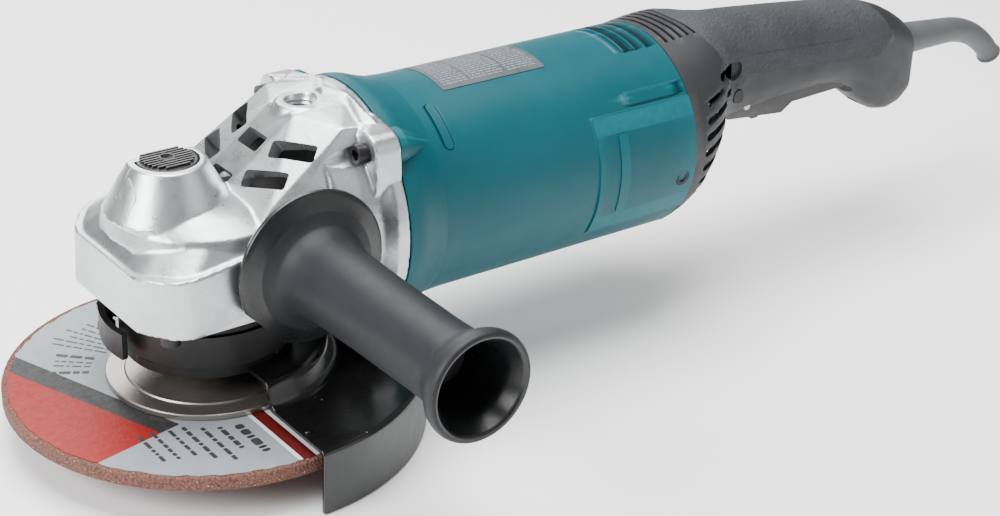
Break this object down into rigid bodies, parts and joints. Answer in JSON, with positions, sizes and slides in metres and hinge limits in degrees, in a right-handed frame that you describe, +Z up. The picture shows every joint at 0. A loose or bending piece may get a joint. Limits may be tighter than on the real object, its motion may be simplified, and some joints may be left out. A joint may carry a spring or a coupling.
{
  "type": "angle grinder",
  "caption": "Corded angle grinder with a depressed-centre grinding wheel, turning guard, side handle and long rear handle with a squeeze trigger.",
  "frame": {"origin": "where the spindle's axis meets the plane of the wheel's working face", "axes": "+X to the rear along the motor and handle, +Z up along the spindle away from the work, side handle on -Y"},
  "size_m": [0.6028, 0.268, 0.1465],
  "materials": {
    "cast_alloy": "bright die-cast alloy, lightly blasted",
    "bearing_box_black": "black painted casting",
    "black_fastener": "black oxide",
    "bearing_steel": "ground steel",
    "turned_steel": "turned steel",
    "gear_steel": "hardened steel, oiled",
    "abrasive": "brick red bonded grit",
    "wheel_paper": "grey printed blotter with red and dark bands, no lettering",
    "teal_shell": "teal moulded nylon, fine texture",
    "zinc_screw": "dark zinc",
    "core_laminations": "stacked steel sheets",
    "copper_wire": "enamelled copper",
    "carbon": "carbon block",
    "spring_steel": "spring wire",
    "fan_plastic": "black nylon",
    "label_film": "grey film, no lettering",
    "dark_shell": "dark grey moulded nylon",
    "soft_grip": "soft textured grip",
    "trigger_plastic": "black moulded plastic",
    "switch_plastic": "black switch body",
    "lead_sleeve": "insulated wire",
    "cord_rubber": "dark grey rubber",
    "side_handle_plastic": "charcoal moulded plastic",
    "guard_paint": "gloss black paint on sheet steel"
  },
  "bodies": {
    "housing": {"gear_housing": "cast_alloy", "bearing_box": "bearing_box_black", "bearing_box_screws": "black_fastener", "gear_housing_screws": "black_fastener", "spindle_bearing_outer": "bearing_steel", "bearing_retainer": "bearing_steel", "needle_bearing": "bearing_steel", "motor_housing": "teal_shell", "stator_core": "core_laminations", "stator_coils": "copper_wire", "baffle_plate": "fan_plastic", "armature_bearing_outers": "bearing_steel", "brush_holders": "copper_wire", "carbon_brushes": "carbon", "brush_springs": "spring_steel", "brush_cover_left": "teal_shell", "brush_cover_right": "teal_shell", "brush_cover_screws": "zinc_screw", "tail_cover": "dark_shell", "side_handle": "side_handle_plastic", "side_handle_bolt": "turned_steel", "rating_label": "label_film", "lock_spring": "spring_steel", "handle_upper": "soft_grip", "handle_lower": "dark_shell", "grip_overmould": "soft_grip", "handle_screws": "zinc_screw", "trigger_pin": "turned_steel", "switch_unit": "switch_plastic", "motor_leads": "lead_sleeve", "cord_guard": "cord_rubber", "cord_clamp": "switch_plastic", "trigger_spring": "spring_steel"},
    "spindle": {"spindle": "turned_steel", "drive_gear": "gear_steel", "gear_circlip": "turned_steel", "inner_flange": "turned_steel", "lock_nut": "turned_steel", "grinding_wheel": "abrasive", "wheel_label": "wheel_paper", "wheel_bush": "turned_steel", "spindle_bearing_inner": "bearing_steel", "spindle_bearing_balls": "bearing_steel"},
    "armature": {"armature_shaft": "turned_steel", "pinion": "gear_steel", "cooling_fan": "fan_plastic", "armature_core": "core_laminations", "armature_windings": "copper_wire", "commutator": "copper_wire", "armature_bearing_inners": "bearing_steel", "armature_bearing_balls": "bearing_steel"},
    "shaft_lock": {"lock_button": "trigger_plastic", "lock_pin": "turned_steel"},
    "guard": {"wheel_guard": "guard_paint", "guard_clamp_band": "guard_paint", "guard_clamp_screw": "black_fastener"},
    "clamp_lever": {"guard_lever": "guard_paint"},
    "trigger": {"trigger_lever": "trigger_plastic"},
    "safety_lever": {"lock_lever": "trigger_plastic"},
    "plunger": {"switch_plunger": "trigger_plastic"}
  },
  "joints": [
    {"name": "spindle_spin", "type": "hinge", "parent": "housing", "child": "spindle", "pos_m": [0, 0, 0.04], "axis": [0, 0, 1], "continuous": true},
    {"name": "armature_spin", "type": "hinge", "parent": "housing", "child": "armature", "pos_m": [0.15, 0, 0.0735], "axis": [1, 0, 0], "continuous": true},
    {"name": "lock_press", "type": "slide", "parent": "housing", "child": "shaft_lock", "axis": [0, 0, -1], "range_m": [0, 0.005], "stiffness_N_per_m": 600, "springref_m": -0.002, "deforming": ["lock_spring"]},
    {"name": "guard_turn", "type": "hinge", "parent": "housing", "child": "guard", "pos_m": [0, 0, 0.03], "axis": [0, 0, 1], "range_deg": [-90, 90]},
    {"name": "clamp_lever_swing", "type": "hinge", "parent": "guard", "child": "clamp_lever", "pos_m": [-0.03768, 0.02091, 0.0355], "axis": [0, 0, -1], "range_deg": [0, 75]},
    {"name": "trigger_squeeze", "type": "hinge", "parent": "housing", "child": "trigger", "pos_m": [0.303, 0, 0.074], "axis": [0, -1, 0], "range_deg": [0, 6], "stiffness_Nm_per_rad": 3, "springref_deg": -2.86, "deforming": ["trigger_spring"]},
    {"name": "plunger_slide", "type": "slide", "parent": "housing", "child": "plunger", "axis": [0, 0, 1], "range_m": [0, 0.0053]},
    {"name": "safety_lever_swing", "type": "hinge", "parent": "trigger", "child": "safety_lever", "pos_m": [0.322, 0, 0.0705], "axis": [0, 1, 0], "range_deg": [0, 25], "stiffness_Nm_per_rad": 0.02, "springref_deg": -5.73}
  ],
  "couplings": [
    {"joint": "armature_spin", "follows": "spindle_spin", "ratio": 3.7},
    {"joint": "plunger_slide", "follows": "trigger_squeeze", "m_per_rad": 0.05}
  ]
}
